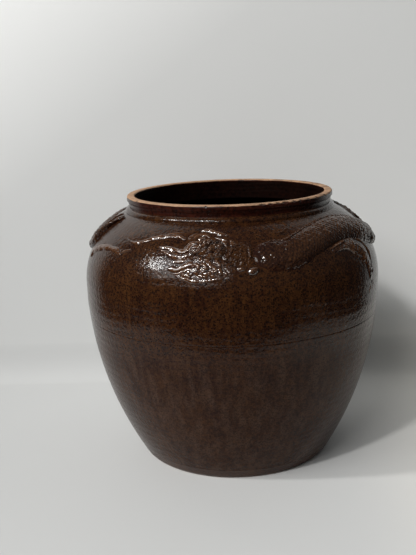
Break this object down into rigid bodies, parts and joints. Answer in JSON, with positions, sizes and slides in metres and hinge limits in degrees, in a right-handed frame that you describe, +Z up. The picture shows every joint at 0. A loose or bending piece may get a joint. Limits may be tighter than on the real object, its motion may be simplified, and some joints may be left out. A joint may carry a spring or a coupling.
{
  "type": "glazed stoneware storage jar",
  "caption": "Squat round-shouldered storage jar with a wide low neck, dark brown glaze and dragons in relief round the shoulder.",
  "frame": {"origin": "centre of the standing face, on the jar's axis", "axes": "+Z up along the jar's axis, -Y towards the front of the picture, where a dragon's head is"},
  "size_m": [0.3394, 0.3394, 0.306],
  "materials": {
    "brown_glaze": "glossy iron-brown glaze with fine dark speckle, greyer and duller on the lower half",
    "relief_glaze": "glossy dark brown glaze, thin and bright on the crests and dark in the hollows",
    "collar_glaze": "deep red-brown glaze, with a bare sandy lip",
    "bare_clay": "bare fired stoneware, matt and gritty"
  },
  "bodies": {
    "root": {"base_slab": "bare_clay", "neck_collar": "collar_glaze", "lower_wall": "brown_glaze", "upper_wall": "brown_glaze", "neck_ring": "brown_glaze", "front_dragon_body": "relief_glaze", "front_dragon_tail": "relief_glaze", "front_dragon_neck": "relief_glaze", "front_dragon_skull": "relief_glaze", "front_dragon_fore_leg": "relief_glaze", "back_dragon_body": "relief_glaze", "back_dragon_tail": "relief_glaze", "back_dragon_neck": "relief_glaze", "back_dragon_skull": "relief_glaze", "back_dragon_fore_leg": "relief_glaze", "dragon_hind_legs": "relief_glaze", "dragon_fore_claws": "relief_glaze", "dragon_hind_claws": "relief_glaze", "dragon_upper_jaws": "relief_glaze", "dragon_lower_jaws": "relief_glaze", "dragon_tongues": "relief_glaze", "dragon_eyes": "relief_glaze", "dragon_brows": "relief_glaze", "dragon_horns": "relief_glaze", "dragon_whiskers": "relief_glaze", "dragon_beards": "relief_glaze", "dragon_flames": "relief_glaze", "dragon_knobs": "relief_glaze"}
  },
  "joints": []
}
